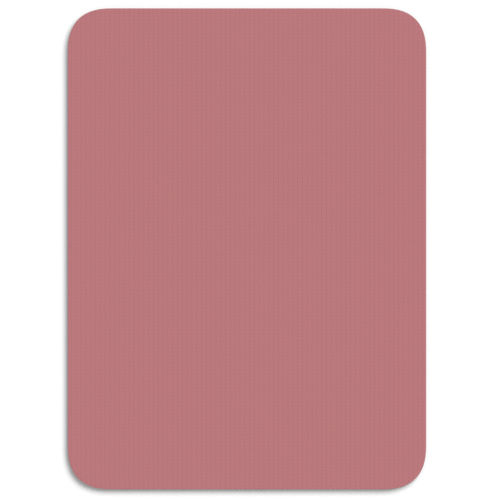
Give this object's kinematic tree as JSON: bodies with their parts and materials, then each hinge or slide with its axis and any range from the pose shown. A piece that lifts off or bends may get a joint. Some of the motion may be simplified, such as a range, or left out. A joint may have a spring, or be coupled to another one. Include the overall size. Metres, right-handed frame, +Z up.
{
  "type": "mouse pad",
  "caption": "Small flat rectangular mouse pad with rounded corners: plain knitted cloth bonded to a foamed rubber base.",
  "frame": {"origin": "middle of the underside, on the desk", "axes": "+Z up out of the cloth, +Y along the long side towards the top of the picture, +X to the right"},
  "size_m": [0.149, 0.2, 0.003],
  "materials": {
    "foamed_rubber": "matte",
    "bonding_glue": "satin",
    "knitted_cloth": "knitted"
  },
  "bodies": {
    "root": {"rubber_base": "foamed_rubber", "bonding_film": "bonding_glue", "surface_cloth": "knitted_cloth"}
  },
  "joints": []
}
